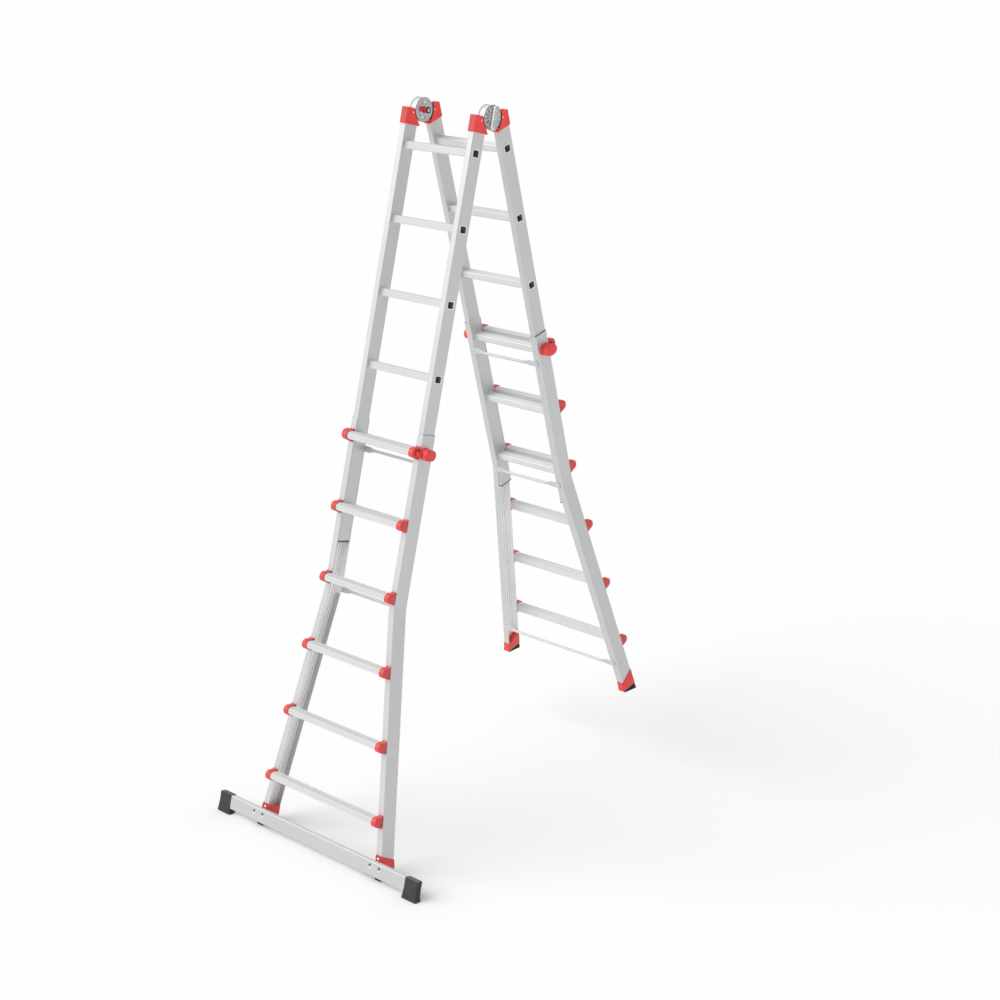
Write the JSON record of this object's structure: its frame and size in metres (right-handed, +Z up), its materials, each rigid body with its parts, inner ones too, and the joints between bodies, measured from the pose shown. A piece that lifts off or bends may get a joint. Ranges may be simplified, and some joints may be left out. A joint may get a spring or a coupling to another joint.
{
  "type": "telescopic multi position ladder",
  "caption": "Telescopic hinged ladder standing as an A-frame, with flared lower sections, a stabiliser crossbar, locking hinges and pull-out height locks.",
  "frame": {"origin": "on the front legs' floor, in the middle of the footprint's box; the hinge axis is 9.98 mm towards -Y of it", "axes": "+Z up, +X across the ladder to its right seen from the front half, front half towards -Y, rear half towards +Y"},
  "size_m": [1.1164, 1.6038, 2.8283],
  "materials": {
    "stile_aluminium": "extruded, satin",
    "rung_aluminium": "extruded, fine ribs",
    "bar_aluminium": "extruded, satin",
    "rod_aluminium": "drawn, pressed ends",
    "zinc_steel": "zinc plated, stamped",
    "red_plastic": "moulded, fine grain",
    "rubber": "moulded, matte"
  },
  "bodies": {
    "front_outer": {"front_outer_stile_left": "stile_aluminium", "front_outer_stile_right": "stile_aluminium", "front_outer_rung_1": "rung_aluminium", "front_outer_rung_2": "rung_aluminium", "front_outer_rung_3": "rung_aluminium", "front_outer_rung_4": "rung_aluminium", "front_outer_rung_5": "rung_aluminium", "front_outer_rung_6": "rung_aluminium", "front_tie_rod_1": "rod_aluminium", "front_tie_rod_2": "rod_aluminium", "front_foot_left": "red_plastic", "front_foot_right": "red_plastic", "stabiliser_bar": "bar_aluminium", "stabiliser_foot_left": "rubber", "stabiliser_foot_right": "rubber"},
    "front_inner": {"front_inner_stile_left": "stile_aluminium", "front_inner_stile_right": "stile_aluminium", "front_inner_rung_1": "rung_aluminium", "front_inner_rung_2": "rung_aluminium", "front_inner_rung_3": "rung_aluminium", "front_inner_rung_4": "rung_aluminium", "front_inner_rung_5": "rung_aluminium", "front_inner_rung_6": "rung_aluminium", "hinge_front_cap_left": "red_plastic", "hinge_front_cap_right": "red_plastic", "hinge_front_disc_left": "zinc_steel", "hinge_front_disc_right": "zinc_steel"},
    "rear_inner": {"rear_inner_stile_left": "stile_aluminium", "rear_inner_stile_right": "stile_aluminium", "rear_inner_rung_1": "rung_aluminium", "rear_inner_rung_2": "rung_aluminium", "rear_inner_rung_3": "rung_aluminium", "rear_inner_rung_4": "rung_aluminium", "rear_inner_rung_5": "rung_aluminium", "rear_inner_rung_6": "rung_aluminium", "hinge_rear_cap_left": "red_plastic", "hinge_rear_cap_right": "red_plastic", "hinge_rear_disc_left": "zinc_steel", "hinge_rear_disc_right": "zinc_steel"},
    "rear_outer": {"rear_outer_stile_left": "stile_aluminium", "rear_outer_stile_right": "stile_aluminium", "rear_outer_rung_1": "rung_aluminium", "rear_outer_rung_2": "rung_aluminium", "rear_outer_rung_3": "rung_aluminium", "rear_outer_rung_4": "rung_aluminium", "rear_outer_rung_5": "rung_aluminium", "rear_outer_rung_6": "rung_aluminium", "rear_tie_rod_1": "rod_aluminium", "rear_tie_rod_2": "rod_aluminium", "rear_tie_rod_3": "rod_aluminium", "rear_foot_left": "red_plastic", "rear_foot_right": "red_plastic"},
    "front_lock_left": {"front_lock_grip_left": "red_plastic"},
    "front_lock_right": {"front_lock_grip_right": "red_plastic"},
    "rear_lock_left": {"rear_lock_grip_left": "red_plastic"},
    "rear_lock_right": {"rear_lock_grip_right": "red_plastic"},
    "hinge_lock_left": {"hinge_lock_lever_left": "zinc_steel", "hinge_lock_knob_left": "red_plastic"},
    "hinge_lock_right": {"hinge_lock_lever_right": "zinc_steel", "hinge_lock_knob_right": "red_plastic"}
  },
  "joints": [
    {"name": "front_telescope", "type": "slide", "parent": "front_outer", "child": "front_inner", "axis": [0, -0.2338, -0.9723], "range_m": [0, 1.12]},
    {"name": "main_hinge", "type": "hinge", "parent": "front_inner", "child": "rear_inner", "pos_m": [0, -0.00998, 2.7818], "axis": [1, 0, 0], "range_deg": [-29.63, 150.37]},
    {"name": "rear_telescope", "type": "slide", "parent": "rear_inner", "child": "rear_outer", "axis": [0, 0.2775, -0.9607], "range_m": [-0.84, 0.28]},
    {"name": "front_lock_left_pull", "type": "slide", "parent": "front_outer", "child": "front_lock_left", "axis": [-1, 0, 0], "range_m": [0, 0.025]},
    {"name": "front_lock_right_pull", "type": "slide", "parent": "front_outer", "child": "front_lock_right", "axis": [1, 0, 0], "range_m": [0, 0.025]},
    {"name": "rear_lock_left_pull", "type": "slide", "parent": "rear_outer", "child": "rear_lock_left", "axis": [-1, 0, 0], "range_m": [0, 0.025]},
    {"name": "rear_lock_right_pull", "type": "slide", "parent": "rear_outer", "child": "rear_lock_right", "axis": [1, 0, 0], "range_m": [0, 0.025]},
    {"name": "hinge_lock_left_pull", "type": "slide", "parent": "front_inner", "child": "hinge_lock_left", "axis": [-1, 0, 0], "range_m": [0, 0.015]},
    {"name": "hinge_lock_right_pull", "type": "slide", "parent": "front_inner", "child": "hinge_lock_right", "axis": [1, 0, 0], "range_m": [-0.004, 0.011]}
  ]
}
